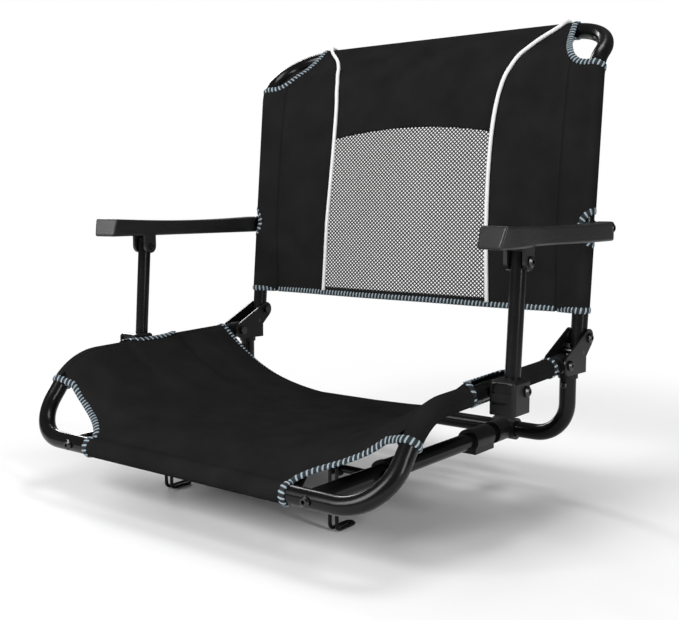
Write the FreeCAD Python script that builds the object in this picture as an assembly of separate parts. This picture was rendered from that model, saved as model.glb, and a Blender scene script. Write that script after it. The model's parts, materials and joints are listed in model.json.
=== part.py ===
import FreeCAD, Part
import math
import os
from FreeCAD import Vector

# A stadium seat with folding back and armrests that hooks on a bench plank.
# Millimetres. +Z is up, the front faces -Y, and right means +X.
# Z = 0 is the top of the bench, and X = Y = 0 is the middle of the standing frame.

# Tubes
tube_diameter = 19.0
tube_wall = 1.2
post_diameter = 16.0
post_wall = 1.2

# Standing frame, between tube axes
rail_spacing = 504.0
frame_depth = 370.0
bar_height = 14.5
runner_inset = 79.0
front_corner_radius = 51.0
front_incline = 52.0
knee_radius = 74.0
leg_corner_radius = 40.0
leg_top_height = 84.0

# Side rails, which climb a little to the back
rail_hinge_height = 102.5
rail_slope = 0.027
rail_bolt_setback = 25.0
rail_end_gap = 11.0

# Backrest tube
back_pivot_offset = 26.5
back_pivot_height = 128.5
back_lean = 5.0
back_tail = 16.5
back_knee_height = 449.0
back_knee_radius = 42.0
back_flare_depth = 66.0
back_flare_rise = 47.0
back_corner_radius = 60.0

# Armrest linkage: a parallelogram with the post as one side and the back tube as the other
post_pivot_y = 4.0
post_pivot_rise = 1.7
link_depth = 9.0
link_rise = 127.5
post_x_offset = 24.0
post_overrun = 10.0
post_foot = 14.0
open_pivot_clearance = 0.5

# Post block
block_front = 24.5
block_rear = 10.0
block_below = 22.0
block_above = 12.5
block_depth_x = 29.0
block_round = 4.0
block_gap = 1.5
recess_depth = 2.5
recess_width = 21.0
recess_height = 11.0
recess_top = 2.5
recess_round = 5.0
slot_inset = 4.0
slot_width = 16.0
slot_height = 3.0
slot_drop = 8.0

# Armrest
arm_inner_gap = 2.1
arm_rear_width = 24.4
arm_bulge = 9.0
arm_low_flare = 1.5
arm_high_flare = 6.0
arm_waist = 3.0
arm_front_y = -43.0
arm_front_slant = 7.0
arm_front_skew = 5.0
arm_paddle_ahead = 25.0
arm_waist_behind = 22.0
arm_tail = 8.5
arm_bottom_above_knuckle = 14.0
arm_thickness = 22.5
arm_dip = 3.5
arm_edge_round = 2.5
lug_thickness = 4.2
lug_gap = 0.4
lug_radius = 9.0
arm_screw_recess = 3.5
nut_pocket_floor = 1.0

# Hinge bracket
bracket_gap = 23.0
plate_thickness = 2.0
lobe_radius = 10.5
bracket_foot_radius = 12.0
web_setback = 8.5
web_low = 89.5
web_high = 108.0
stop_pin_diameter = 8.0
stop_pin_ahead = 15.0
stop_pin_below = 15.0
stop_tenon_diameter = 5.0

# Corner connector
connector_collar_diameter = 22.0
connector_head_top = 108.5
connector_pad_width = 16.0
spigot_length = 26.0
leg_screw_drop = 7.5

# Runner fittings
saddle_wall = 3.5
saddle_width = 30.0
saddle_socket = 27.0
rear_foot_length = 42.0
front_foot_length = 27.0
foot_wall = 3.1
foot_base_width = 21.0
foot_collar_length = 5.0
foot_collar_wall = 4.1
rear_foot_setback = 80.5
front_foot_y = -75.0
plug_length = 22.0

# Bench hooks
hook_rod_diameter = 8.0
hook_rod_y = -84.0
hook_wire = 4.0
hook_inset = 49.5
hook_leg_spacing = 9.0
hook_drop = 64.5
hook_bend_radius = 6.0
hook_tip = 21.0
hook_eye_turn = 300.0
rod_nut_length = 8.0
rod_nut_across = 13.0
rod_cap_wall = 2.0

# Sling cloth
cloth_thickness = 1.6
sleeve_wall = 1.0
cloth_gap = 0.3
straight_limit = 1e-6
front_sleeve_inset = 105.0
seat_cut_ahead = 44.0
seat_cut_behind = 36.0
seat_sleeve_gap = 19.0
seat_edge_gap = 14.0
nut_room_gap = 1.0
seat_rear_height = 38.0
seat_front_crown = 42.0
waterfall_share = 0.8
sag_power = 3.0
back_edge_height = 154.0
back_sleeve_top = 441.0
back_cut_half = 17.0
top_sleeve_inset = 56.0
back_foot_setback = 1.5
back_foot_bow = 6.5
back_sag = 3.0
back_knee_sag = 22.0
back_fade = 1.5
bite_power = 1.5

# Panels of the back sling
seam_top_x = 196.0
seam_waist_x = 124.0
seam_foot_x = 131.0
seam_bow = 1.0
seam_upper_bow = 27.0
piping_width = 5.0
seam_gap = 0.2
mesh_side_height = 371.0
mesh_crown = 11.0
mesh_hem = 9.0

# Fasteners and fits
bolt_diameter = 6.0
bolt_head_diameter = 11.5
bolt_head_height = 3.6
head_crown_share = 0.65
socket_across = 4.0
socket_floor = 1.0
nut_across = 10.0
nut_height = 4.0
screw_diameter = 4.0
screw_head_diameter = 7.5
screw_head_height = 2.4
washer_diameter = 17.0
running_fit = 0.06
fixed_fit = 0.1
seat_gap = 0.1
head_clearance = 0.3
joint_overlap = 1.0

# Sizes that follow from those above
tube_radius = tube_diameter / 2
tube_bore = tube_radius - tube_wall
post_radius = post_diameter / 2
side_x = rail_spacing / 2
runner_x = side_x - runner_inset
front_y = -frame_depth / 2
rear_y = frame_depth / 2
rail_bolt_y = rear_y - rail_bolt_setback
rail_end_y = rail_bolt_y - rail_end_gap
bolt_radius = bolt_diameter / 2
sleeve_inner = tube_radius + cloth_gap
sleeve_outer = sleeve_inner + sleeve_wall
cloth_edge_x = side_x - sleeve_inner - sleeve_wall / 2
front_sleeve_half = side_x - front_sleeve_inset
top_sleeve_half = side_x - top_sleeve_inset
seat_sleeve_end = rail_end_y - seat_sleeve_gap
seat_rear_edge = rail_end_y - seat_edge_gap
sleeve_cut_half = sleeve_outer + cloth_gap
plate_inner = bracket_gap / 2
plate_outer = plate_inner + plate_thickness
post_x = side_x + post_x_offset
arm_inner_x = side_x + tube_radius + arm_inner_gap

AXIS_X = Vector(1, 0, 0)
AXIS_Y = Vector(0, 1, 0)
AXIS_Z = Vector(0, 0, 1)
ORIGIN = Vector(0, 0, 0)


def rail_height(y):
    return rail_hinge_height + rail_slope * (y - rail_bolt_y)


# The main pivots, on the right side
back_pivot = Vector(side_x, rear_y + back_pivot_offset, back_pivot_height)
rail_bolt_point = Vector(side_x, rail_bolt_y, rail_hinge_height)
post_pivot = Vector(post_x, post_pivot_y, rail_height(post_pivot_y) + post_pivot_rise)
link = Vector(0, link_depth, link_rise)
link_direction = Vector(link).normalize()
knuckle = post_pivot + link
arm_pivot = back_pivot + link
lean = Vector(0, math.sin(math.radians(back_lean)), math.cos(math.radians(back_lean)))


def mirrored(shape):
    return shape.mirror(ORIGIN, AXIS_X)


def flipped(point):
    return Vector(-point.x, point.y, point.z)


def both_sides(shape):
    return [mirrored(shape), shape]


def cylinder(radius, start, end):
    run = end - start
    return Part.makeCylinder(radius, run.Length, start, run)


def cross_cylinder(radius, centre, direction, length):
    half = Vector(direction).multiply(length / 2)
    return cylinder(radius, centre - half, centre + half)


def block(x_low, x_high, y_low, y_high, z_low, z_high):
    return Part.makeBox(x_high - x_low, y_high - y_low, z_high - z_low, Vector(x_low, y_low, z_low))


def rounded_path(corners, radii):
    """A wire of straight runs whose inner corners are rounded by tangent arcs."""
    edges = []
    last = corners[0]
    for before, corner, after, radius in zip(corners, corners[1:], corners[2:], radii):
        back = (before - corner).normalize()
        ahead = (after - corner).normalize()
        half_angle = back.getAngle(ahead) / 2
        start = corner + back * (radius / math.tan(half_angle))
        end = corner + ahead * (radius / math.tan(half_angle))
        bisector = (back + ahead).normalize()
        middle = corner + bisector * (radius / math.sin(half_angle) - radius)
        edges.append(Part.LineSegment(last, start).toShape())
        edges.append(Part.Arc(start, middle, end).toShape())
        last = end
    edges.append(Part.LineSegment(last, corners[-1]).toShape())
    return Part.Wire(edges)


def pipe(path, radius):
    first = path.OrderedEdges[0]
    start = first.valueAt(first.FirstParameter)
    ring = Part.Wire(Part.makeCircle(radius, start, first.tangentAt(first.FirstParameter)))
    return path.makePipeShell([ring], True, False)


def hollow_pipe(path, outer, inner):
    return pipe(path, outer).cut(pipe(path, inner))


def hexagon(across, height, base, direction):
    """A hexagonal prism that stands on base and points along direction."""
    side = direction.cross(AXIS_Z).normalize()
    up = direction.cross(side)
    radius = across / math.sqrt(3)
    corners = []
    for step in range(7):
        angle = math.radians(60 * step)
        corners.append(base + side * (radius * math.cos(angle)) + up * (radius * math.sin(angle)))
    return Part.Face(Part.makePolygon(corners)).extrude(direction * height)


def socket_bolt(seat, direction, length, diameter, head_diameter, head_height):
    """A button-head bolt: its head sits on seat, and its shank runs along direction."""
    outward = direction * -1
    half = head_height / 2
    shank = cylinder(diameter / 2, seat, seat + direction * length)
    rim = cylinder(head_diameter / 2, seat, seat + outward * half)
    crown = head_crown_share * head_diameter / 2
    dome = Part.makeCone(head_diameter / 2, crown, half, seat + outward * half, outward)
    socket = hexagon(socket_across, head_height, seat + outward * socket_floor, outward)
    return shank.fuse([rim, dome]).removeSplitter().cut(socket)


def machine_bolt(seat, direction, length):
    return socket_bolt(seat, direction, length, bolt_diameter, bolt_head_diameter, bolt_head_height)


def small_screw(seat, direction, length):
    return socket_bolt(seat, direction, length, screw_diameter, screw_head_diameter, screw_head_height)


def hex_nut(base, direction):
    bore = cylinder(bolt_radius + running_fit, base, base + direction * nut_height)
    return hexagon(nut_across, nut_height, base, direction).cut(bore)


def washer(base, direction, thickness):
    disc = cylinder(washer_diameter / 2, base, base + direction * thickness)
    return disc.cut(cylinder(bolt_radius + running_fit, base, base + direction * thickness))


# Standing frame


def knee_corner():
    """Where the front incline and the rail would meet without their bend."""
    rise = math.tan(math.radians(front_incline))
    depth = (rail_height(front_y) - bar_height) / (rise - rail_slope)
    return Vector(side_x, front_y + depth, bar_height + depth * rise)


def rail_point(y):
    return Vector(side_x, y, rail_height(y))


def seat_path():
    corners = [rail_point(rail_end_y), knee_corner(), Vector(side_x, front_y, bar_height)]
    corners += [flipped(point) for point in reversed(corners)]
    return rounded_path(corners, [knee_radius, front_corner_radius, front_corner_radius, knee_radius])


def seat_tube():
    tube = hollow_pipe(seat_path(), tube_radius, tube_bore)
    for side in (-1, 1):
        bolt_place = Vector(side * runner_x, front_y, bar_height)
        tube = tube.cut(cross_cylinder(bolt_radius + fixed_fit, bolt_place, AXIS_Y, 2 * tube_diameter))
        pivot_place = Vector(side * side_x, post_pivot.y, post_pivot.z)
        tube = tube.cut(cross_cylinder(bolt_radius + fixed_fit, pivot_place, AXIS_X, 2 * tube_diameter))
    return tube


def leg_tube():
    top = Vector(side_x, rear_y, leg_top_height)
    foot = Vector(side_x, rear_y, bar_height)
    path = rounded_path([top, foot, flipped(foot), flipped(top)], [leg_corner_radius, leg_corner_radius])
    tube = hollow_pipe(path, tube_radius, tube_bore)
    for side in (-1, 1):
        place = Vector(side * side_x, rear_y - tube_radius, leg_top_height - leg_screw_drop)
        tube = tube.cut(cross_cylinder(screw_diameter / 2 + fixed_fit, place, AXIS_Y, tube_diameter))
    return tube


def cross_bar(y, radius):
    """A straight cylinder along the front bar or the rear crossbar."""
    return cross_cylinder(radius, Vector(0, y, bar_height), AXIS_X, rail_spacing)


def runner():
    start = Vector(runner_x, front_y, bar_height)
    end = Vector(runner_x, rear_y, bar_height)
    tube = cylinder(tube_radius, start, end).cut(cylinder(tube_bore, start, end))
    tube = tube.cut(cross_bar(front_y, tube_radius + seat_gap))
    tube = tube.cut(cross_bar(rear_y, tube_radius + seat_gap))
    rod_place = Vector(runner_x, hook_rod_y, bar_height)
    return tube.cut(cross_cylinder(hook_rod_diameter / 2 + fixed_fit, rod_place, AXIS_X, 2 * tube_diameter))


def runner_front_plug():
    start = Vector(runner_x, front_y, bar_height)
    end = start + AXIS_Y * (tube_radius + plug_length)
    plug = cylinder(tube_bore - fixed_fit, start, end).cut(cross_bar(front_y, tube_radius + seat_gap))
    return plug.cut(cylinder(bolt_radius + fixed_fit, start, end))


def runner_front_bolt():
    seat = Vector(runner_x, front_y - tube_radius - seat_gap, bar_height)
    return machine_bolt(seat, AXIS_Y, tube_diameter + plug_length - 2 * bolt_radius)


def rear_saddle():
    centre = Vector(runner_x, rear_y, bar_height)
    socket_start = centre - AXIS_Y * (tube_radius + saddle_socket)
    outer = tube_radius + saddle_wall
    body = cross_cylinder(outer, centre, AXIS_X, saddle_width).fuse(cylinder(outer, socket_start, centre))
    body = body.removeSplitter().cut(cross_bar(rear_y, tube_radius + seat_gap))
    return body.cut(cylinder(tube_radius + seat_gap, socket_start, centre))


def runner_foot(front, length):
    """A clip on the runner with a flat base on the bench and a collar at its front."""
    start = Vector(runner_x, front, bar_height)
    end = start + AXIS_Y * length
    ring = cylinder(tube_radius + foot_wall, start, end)
    collar = cylinder(tube_radius + foot_collar_wall, start, start + AXIS_Y * foot_collar_length)
    half = foot_base_width / 2
    base = block(runner_x - half, runner_x + half, front, front + length, 0, bar_height)
    body = ring.fuse([collar, base]).removeSplitter()
    return body.cut(cylinder(tube_radius + seat_gap, start, end))


def hook_rod():
    reach = runner_x + tube_radius + rod_nut_length - rod_cap_wall
    return cross_cylinder(hook_rod_diameter / 2, Vector(0, hook_rod_y, bar_height), AXIS_X, 2 * reach)


def hook_rod_nut():
    seat = Vector(runner_x + tube_radius + seat_gap, hook_rod_y, bar_height)
    nut = hexagon(rod_nut_across, rod_nut_length, seat, AXIS_X)
    bore_end = seat + AXIS_X * (rod_nut_length - rod_cap_wall)
    return nut.cut(cylinder(hook_rod_diameter / 2 + fixed_fit, seat, bore_end))


# Hinge between rail, leg and backrest


def tangent_point(centre, radius, other, other_radius, turn):
    """Where a line that touches two circles on the same side leaves the first one."""
    across = other - centre
    angle = math.atan2(across.z, across.y) + turn * math.acos((radius - other_radius) / across.Length)
    return centre + Vector(0, radius * math.cos(angle), radius * math.sin(angle))


def plate_outline(x):
    foot = Vector(x, rail_bolt_point.y, rail_bolt_point.z)
    lobe = Vector(x, back_pivot.y, back_pivot.z)
    rear = lobe.y - web_setback + plate_thickness / 2
    foot_top = tangent_point(foot, bracket_foot_radius, lobe, lobe_radius, 1)
    lobe_front = tangent_point(lobe, lobe_radius, foot, bracket_foot_radius, -1)
    rear_top = Vector(x, rear, web_high)
    rear_low = Vector(x, rear, web_low)
    lobe_rear = tangent_point(lobe, lobe_radius, rear_top, 0, 1)
    foot_low = foot - AXIS_Z * bracket_foot_radius
    foot_front = foot - AXIS_Y * bracket_foot_radius
    lobe_top = lobe + (lobe_front + lobe_rear - lobe * 2).normalize() * lobe_radius
    edges = [Part.Arc(foot_low, foot_front, foot_top).toShape(),
             Part.LineSegment(foot_top, lobe_front).toShape(),
             Part.Arc(lobe_front, lobe_top, lobe_rear).toShape(),
             Part.LineSegment(lobe_rear, rear_top).toShape(),
             Part.LineSegment(rear_top, rear_low).toShape(),
             Part.LineSegment(rear_low, foot_low).toShape()]
    return Part.Face(Part.Wire(edges))


def hinge_bracket():
    plates = []
    for x in (side_x - plate_outer, side_x + plate_inner):
        plates.append(plate_outline(x).extrude(AXIS_X * plate_thickness))
    web_rear = back_pivot.y - web_setback + plate_thickness / 2
    web = block(side_x - plate_outer, side_x + plate_outer, web_rear - plate_thickness, web_rear,
                web_low, web_high)
    bracket = plates[0].fuse([plates[1], web]).removeSplitter()
    for point in (back_pivot, rail_bolt_point):
        bracket = bracket.cut(cross_cylinder(bolt_radius + fixed_fit, point, AXIS_X, 2 * bracket_gap))
    return bracket.cut(cross_cylinder(stop_tenon_diameter / 2 + fixed_fit, stop_point(), AXIS_X, 2 * bracket_gap))


def stop_point():
    return back_pivot - Vector(0, stop_pin_ahead, stop_pin_below)


def stop_pin():
    barrel = cross_cylinder(stop_pin_diameter / 2, stop_point(), AXIS_X, bracket_gap - 2 * seat_gap)
    tenon = cross_cylinder(stop_tenon_diameter / 2, stop_point(), AXIS_X, 2 * plate_outer)
    return barrel.fuse(tenon).removeSplitter()


def corner_connector():
    """A moulded elbow: a collar on the rail end and a head on the leg top, with a spigot in each."""
    head_radius = plate_inner - seat_gap
    spigot = tube_bore - fixed_fit
    rail_end = rail_point(rail_end_y + seat_gap)
    elbow = rail_point(rear_y)
    leg_top = Vector(side_x, rear_y, leg_top_height + seat_gap)
    head_top = Vector(side_x, rear_y, connector_head_top)
    body = cylinder(head_radius, leg_top, head_top)
    body = body.fuse(cylinder(connector_collar_diameter / 2, rail_end, elbow))
    body = body.cut(cylinder(tube_diameter, head_top, head_top + AXIS_Z * tube_diameter))
    web_front = back_pivot.y - web_setback - plate_thickness / 2
    half_pad = connector_pad_width / 2
    body = body.fuse(block(side_x - half_pad, side_x + half_pad, rear_y, web_front - seat_gap,
                           web_low, connector_head_top))
    body = body.fuse(cylinder(spigot, leg_top - AXIS_Z * spigot_length, leg_top + AXIS_Z * joint_overlap))
    spigot_end = rail_point(rail_end_y + joint_overlap)
    body = body.fuse(cylinder(spigot, rail_point(rail_end_y - spigot_length), spigot_end))
    body = body.cut(cross_cylinder(bolt_radius + fixed_fit, rail_bolt_point, AXIS_X, 2 * bracket_gap))
    screw_place = Vector(side_x, rear_y - tube_radius, leg_top_height - leg_screw_drop)
    return body.cut(cross_cylinder(screw_diameter / 2 + fixed_fit, screw_place, AXIS_Y, tube_diameter))


def cross_bolt(point):
    """A bolt across the bracket, with its head on the outer plate."""
    seat = Vector(side_x + plate_outer, point.y, point.z)
    return machine_bolt(seat, AXIS_X * -1, 2 * plate_outer + nut_height + seat_gap)


def cross_nut(point):
    return hex_nut(Vector(side_x - plate_outer, point.y, point.z), AXIS_X * -1)


def pivot_washers():
    thickness = plate_inner - tube_radius - 2 * seat_gap
    discs = []
    for start in (-plate_inner + seat_gap, tube_radius + seat_gap):
        discs.append(washer(Vector(side_x + start, back_pivot.y, back_pivot.z), AXIS_X, thickness))
    return discs


def leg_screw():
    seat = Vector(side_x, rear_y - tube_radius - seat_gap, leg_top_height - leg_screw_drop)
    return small_screw(seat, AXIS_Y, tube_radius)


# Backrest tube


def back_axis(height):
    """The axis of the right back upright at a height below the knee."""
    return back_pivot + lean * ((height - back_pivot.z) / lean.z)


def back_corners():
    knee = back_axis(back_knee_height)
    return [back_pivot - lean * back_tail, knee, knee + Vector(0, back_flare_depth, back_flare_rise)]


def back_path():
    corners = back_corners()
    corners += [flipped(point) for point in reversed(corners)]
    return rounded_path(corners, [back_knee_radius, back_corner_radius, back_corner_radius, back_knee_radius])


def back_tube():
    tube = hollow_pipe(back_path(), tube_radius, tube_bore)
    for side in (-1, 1):
        pivot_place = Vector(side * side_x, back_pivot.y, back_pivot.z)
        tube = tube.cut(cross_cylinder(bolt_radius + running_fit, pivot_place, AXIS_X, 2 * tube_diameter))
        arm_place = Vector(side * side_x, arm_pivot.y, arm_pivot.z)
        tube = tube.cut(cross_cylinder(bolt_radius + fixed_fit, arm_place, AXIS_X, 2 * tube_diameter))
    return tube


def back_tube_plug():
    end = back_corners()[0]
    return cylinder(tube_bore - fixed_fit, end, end + lean * (back_tail - tube_radius))


# Armrest, post and block


def arm_bolt():
    seat = Vector(arm_inner_x + arm_rear_width - arm_screw_recess, arm_pivot.y, arm_pivot.z)
    length = seat.x - (side_x - tube_radius) + nut_height + 2 * seat_gap
    return machine_bolt(seat, AXIS_X * -1, length)


def arm_nut():
    return hex_nut(Vector(side_x - tube_radius - seat_gap, arm_pivot.y, arm_pivot.z), AXIS_X * -1)


def arm_spacer():
    start = side_x + tube_radius + seat_gap
    return washer(Vector(start, arm_pivot.y, arm_pivot.z), AXIS_X, arm_inner_x - seat_gap - start)


def arm_outline(flare, height):
    """The armrest seen from above at a height: a flared paddle, a waist, and a round rear corner."""
    rear = arm_pivot.y + arm_tail
    outer = arm_inner_x + arm_rear_width
    round_rear = arm_rear_width / 2
    front = arm_front_y - arm_front_slant - 2 * arm_front_skew
    tip = Vector(outer + flare, front, height)
    paddle = Vector(outer + arm_bulge, knuckle.y - arm_paddle_ahead, height)
    waist = Vector(outer - arm_waist, knuckle.y + arm_waist_behind, height)
    shank = Vector(outer - arm_waist, (knuckle.y + arm_pivot.y) / 2, height)
    heel = Vector(outer, rear - round_rear, height)
    side = Part.BSplineCurve()
    side.interpolate([tip, paddle, waist, shank, heel])
    corner_cut = round_rear * (1 - math.sqrt(0.5))
    rear_mid = Vector(outer - corner_cut, rear - corner_cut, height)
    rear_end = Vector(outer - round_rear, rear, height)
    rear_inner = Vector(arm_inner_x, rear, height)
    front_inner = Vector(arm_inner_x, front, height)
    edges = [side.toShape(), Part.Arc(heel, rear_mid, rear_end).toShape()]
    corners = [rear_end, rear_inner, front_inner, tip]
    edges += [Part.LineSegment(a, b).toShape() for a, b in zip(corners, corners[1:])]
    return Part.Wire(edges)


def arm_profile():
    """The armrest seen from the side: a slanted front end and a top that dips in the middle."""
    rear = arm_pivot.y + arm_tail + 2 * arm_front_skew
    low = knuckle.z + arm_bottom_above_knuckle
    high = low + arm_thickness
    front_low = Vector(0, arm_front_y - arm_front_slant, low)
    front_high = Vector(0, arm_front_y, high)
    dip = Vector(0, (arm_front_y + rear) / 2, high - arm_dip)
    rear_high = Vector(0, rear, high)
    rear_low = Vector(0, rear, low)
    edges = [Part.Arc(front_high, dip, rear_high).toShape()]
    corners = [rear_high, rear_low, front_low, front_high]
    edges += [Part.LineSegment(a, b).toShape() for a, b in zip(corners, corners[1:])]
    return Part.Face(Part.Wire(edges))


def arm_lug(x_low):
    low = Vector(x_low, knuckle.y, knuckle.z)
    top = knuckle.z + arm_bottom_above_knuckle + arm_edge_round
    body = cylinder(lug_radius, low, low + AXIS_X * lug_thickness)
    stem = block(x_low, x_low + lug_thickness, knuckle.y - lug_radius, knuckle.y + lug_radius, knuckle.z, top)
    return body.fuse(stem).removeSplitter()


def armrest():
    low = knuckle.z + arm_bottom_above_knuckle
    bottom = arm_outline(arm_low_flare, low - joint_overlap)
    top = arm_outline(arm_high_flare, low + arm_thickness + joint_overlap)
    slab = Part.makeLoft([bottom, top], True, True)
    side = arm_profile()
    side.translate(AXIS_X * arm_inner_x)
    skewed = Vector(arm_rear_width, -arm_front_skew, 0)
    slab = slab.common(side.extrude(skewed * 2))
    slab = slab.makeFillet(arm_edge_round, slab.Edges)
    lug_offset = post_radius + lug_gap
    lugs = [arm_lug(post_x - lug_offset - lug_thickness), arm_lug(post_x + lug_offset)]
    body = slab.fuse(lugs).removeSplitter()
    body = body.cut(cross_cylinder(bolt_radius + fixed_fit, knuckle, AXIS_X, 4 * post_diameter))
    nut_face = Vector(post_x - lug_offset - lug_thickness, knuckle.y, knuckle.z)
    pocket_floor = nut_face + AXIS_X * (lug_thickness - nut_pocket_floor)
    body = body.cut(cylinder(nut_across / 2 + fixed_fit, nut_face, pocket_floor))
    bolt_centre = Vector(arm_inner_x, arm_pivot.y, arm_pivot.z)
    body = body.cut(cross_cylinder(bolt_radius + running_fit, bolt_centre, AXIS_X, 4 * arm_rear_width))
    head_floor = Vector(arm_inner_x + arm_rear_width - arm_screw_recess - seat_gap, arm_pivot.y, arm_pivot.z)
    head_radius = bolt_head_diameter / 2 + head_clearance
    head_room = cylinder(head_radius, head_floor, head_floor + AXIS_X * arm_rear_width)
    return body.cut(head_room)


def knuckle_bolt():
    reach = post_radius + lug_gap + lug_thickness
    seat = Vector(post_x + reach + seat_gap, knuckle.y, knuckle.z)
    return machine_bolt(seat, AXIS_X * -1, 2 * reach)


def knuckle_nut():
    base = Vector(post_x - post_radius - lug_gap - lug_thickness, knuckle.y, knuckle.z)
    tip = base + AXIS_X * (lug_thickness - nut_pocket_floor - seat_gap)
    return cylinder(nut_across / 2, base, tip).cut(cylinder(bolt_radius + running_fit, base, tip))


def post():
    start = post_pivot - link_direction * post_foot
    end = knuckle + link_direction * post_overrun
    tube = cylinder(post_radius, start, end).cut(cylinder(post_radius - post_wall, start, end))
    tube = tube.cut(cross_cylinder(bolt_radius + running_fit, post_pivot, AXIS_X, 2 * post_diameter))
    knuckle_room = bolt_radius + open_pivot_clearance
    return tube.cut(cross_cylinder(knuckle_room, knuckle, AXIS_X, 2 * post_diameter))


def post_cap():
    end = knuckle + link_direction * post_overrun
    inner = post_radius - post_wall - fixed_fit
    start = knuckle + link_direction * (bolt_radius + 2 * open_pivot_clearance)
    return cylinder(inner, start, end)


def post_block():
    inner_x = side_x + tube_radius + block_gap
    front = post_pivot.y - block_front
    low = post_pivot.z - block_below
    high = post_pivot.z + block_above
    body = block(inner_x, inner_x + block_depth_x, front, post_pivot.y + block_rear, low, high)
    body = body.makeFillet(block_round, [edge for edge in body.Edges if edge.CenterOfMass.z > low + block_round])
    half = recess_width / 2
    centre_x = inner_x + block_depth_x / 2
    recess_high = high - recess_top
    recess_low = recess_high - recess_height
    recess = block(centre_x - half, centre_x + half, front, front + recess_depth, recess_low, recess_high)
    deep_edges = [edge for edge in recess.Edges if abs(edge.tangentAt(edge.FirstParameter).y) > 0.5]
    corners = [edge for edge in deep_edges if edge.CenterOfMass.z > post_pivot.z + recess_round]
    recess = recess.makeFillet(recess_round, corners)
    slot_top = recess_low - slot_drop
    slot = block(inner_x + slot_inset, inner_x + slot_inset + slot_width, front, front + recess_depth,
                 slot_top - slot_height, slot_top)
    body = body.cut(recess).cut(slot)
    socket_start = post_pivot - link_direction * (post_foot + seat_gap)
    body = body.cut(cylinder(post_radius + running_fit, socket_start, socket_start + link_direction * link_rise))
    return body.cut(cross_cylinder(bolt_radius + running_fit, post_pivot, AXIS_X, 3 * block_depth_x))


def post_pivot_bolt():
    outer_x = side_x + tube_radius + block_gap + block_depth_x
    seat = Vector(outer_x + seat_gap, post_pivot.y, post_pivot.z)
    length = seat.x - (side_x - tube_radius) + nut_height + 2 * seat_gap
    return machine_bolt(seat, AXIS_X * -1, length)


def post_pivot_nut():
    return hex_nut(Vector(side_x - tube_radius - seat_gap, post_pivot.y, post_pivot.z), AXIS_X * -1)


def post_pivot_washer():
    start = side_x + tube_radius + seat_gap
    return washer(Vector(start, post_pivot.y, post_pivot.z), AXIS_X, block_gap - 2 * seat_gap)


# Bench hooks


def bench_hook():
    """A hairpin of wire: an eye round the rod at each end, two legs and a tip turned back."""
    eye_radius = hook_rod_diameter / 2 + fixed_fit + hook_wire / 2
    half = hook_leg_spacing / 2
    bottom = bar_height - hook_drop
    sides = []
    for side in (-1, 1):
        x = runner_x - hook_inset + side * half
        rod_centre = Vector(x, hook_rod_y, bar_height)
        leg_top = rod_centre - AXIS_Y * eye_radius
        bend_start = Vector(x, leg_top.y, bottom + hook_bend_radius)
        bend_centre = bend_start + AXIS_Y * hook_bend_radius
        bend_end = bend_centre - AXIS_Z * hook_bend_radius
        bend_mid = bend_centre + Vector(0, -1, -1) * (hook_bend_radius * math.sqrt(0.5))
        tip = bend_end + AXIS_Y * hook_tip
        points = []
        for share in (0, 0.5, 1):
            angle = math.radians(180 - (1 - share) * hook_eye_turn)
            points.append(rod_centre + Vector(0, eye_radius * math.cos(angle), eye_radius * math.sin(angle)))
        sides.append([Part.Arc(points[0], points[1], points[2]).toShape(),
                      Part.LineSegment(leg_top, bend_start).toShape(),
                      Part.Arc(bend_start, bend_mid, bend_end).toShape(),
                      Part.LineSegment(bend_end, tip).toShape(), tip])
    first, second = sides
    turn_mid = (first[4] + second[4]) * 0.5 + AXIS_Y * half
    turn = Part.Arc(first[4], turn_mid, second[4]).toShape()
    path = Part.Wire(first[:4] + [turn] + list(reversed(second[:4])))
    return pipe(path, hook_wire / 2)


# Cloth


def curve_or_line(start, middle, end):
    if (middle - (start + end) * 0.5).Length < straight_limit:
        return Part.LineSegment(start, end).toShape()
    return Part.Arc(start, middle, end).toShape()


def sheet_section(edge, middle, thickness_axis):
    """A thin closed outline from edge to edge, flatter in the middle than an arc."""
    rise = Vector(0, edge.y - middle.y, edge.z - middle.z)
    shift = thickness_axis * (cloth_thickness / 2)

    def place(share, face):
        return middle + AXIS_X * (edge.x * share) + rise * (abs(share) ** sag_power) + shift * face

    edges = []
    for face, shares in ((1, (-1, -0.5, 0.5, 1)), (-1, (1, 0.5, -0.5, -1))):
        for start, end in zip(shares, shares[1:]):
            edges.append(curve_or_line(place(start, face), place((start + end) / 2, face), place(end, face)))
        edges.append(Part.LineSegment(place(shares[-1], face), place(shares[-1], -face)).toShape())
    return Part.Wire(edges)


def bite(share, start_x, end_x):
    """Half-width of a cloth whose corner is cut out along a curve a little flatter than an ellipse."""
    return end_x - (end_x - start_x) * (1 - share ** bite_power) ** (1 / bite_power)


def seat_knee_points():
    """Start, middle and end of the right knee bend, from the front."""
    bend = seat_path().OrderedEdges[1]
    first, last = bend.FirstParameter, bend.LastParameter
    return [bend.valueAt(last), bend.valueAt((first + last) / 2), bend.valueAt(first)]


def seat_stations():
    """Edge and middle points of the seat cloth, from the front bar to the rear edge."""
    bar_top = bar_height + sleeve_inner + sleeve_wall / 2
    knee_start, knee_middle, knee_end = seat_knee_points()
    stations = []
    for share in (0, 0.3, 0.6, 0.85):
        y = front_y + (knee_start.y - front_y) * share
        edge_height = bar_top + (knee_start.z - bar_top) * share
        middle_height = bar_top + (seat_front_crown - bar_top) * share * waterfall_share
        stations.append((bite(share, front_sleeve_half, cloth_edge_x), y, edge_height, middle_height))
    knee_shares = (waterfall_share, (waterfall_share + 1) / 2, 1)
    for point, share in zip((knee_start, knee_middle, knee_end), knee_shares):
        middle_height = bar_top + (seat_front_crown - bar_top) * share
        stations.append((cloth_edge_x, point.y, point.z, middle_height))
    stations.append((cloth_edge_x, seat_rear_edge, rail_height(seat_rear_edge), seat_rear_height))
    return stations


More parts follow.
